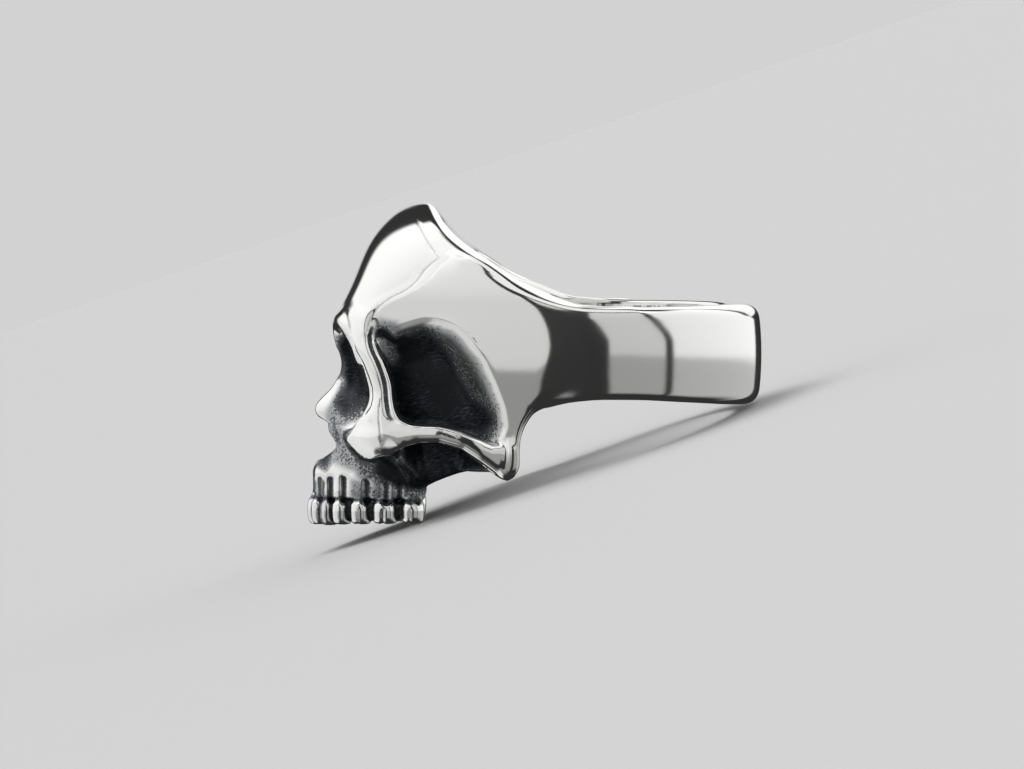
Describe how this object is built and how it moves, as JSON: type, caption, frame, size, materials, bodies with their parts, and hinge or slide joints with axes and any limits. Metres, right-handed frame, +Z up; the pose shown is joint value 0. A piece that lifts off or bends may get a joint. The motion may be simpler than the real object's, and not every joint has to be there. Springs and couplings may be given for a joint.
{
  "type": "skull ring",
  "caption": "Cast silver finger ring whose front is a jawless skull with deep sockets, open cheek arches and upper teeth, blackened in its recesses.",
  "frame": {"origin": "centre of the finger hole at the middle of the band's height", "axes": "the ring lies on its side as it rests by itself: +Z up, the face looks towards -X and the band's back is at +X, +Y across the skull"},
  "size_m": [0.0391, 0.025, 0.0239],
  "materials": {
    "silver": "polished"
  },
  "bodies": {
    "root": {"skull_ring": "silver"}
  },
  "joints": []
}
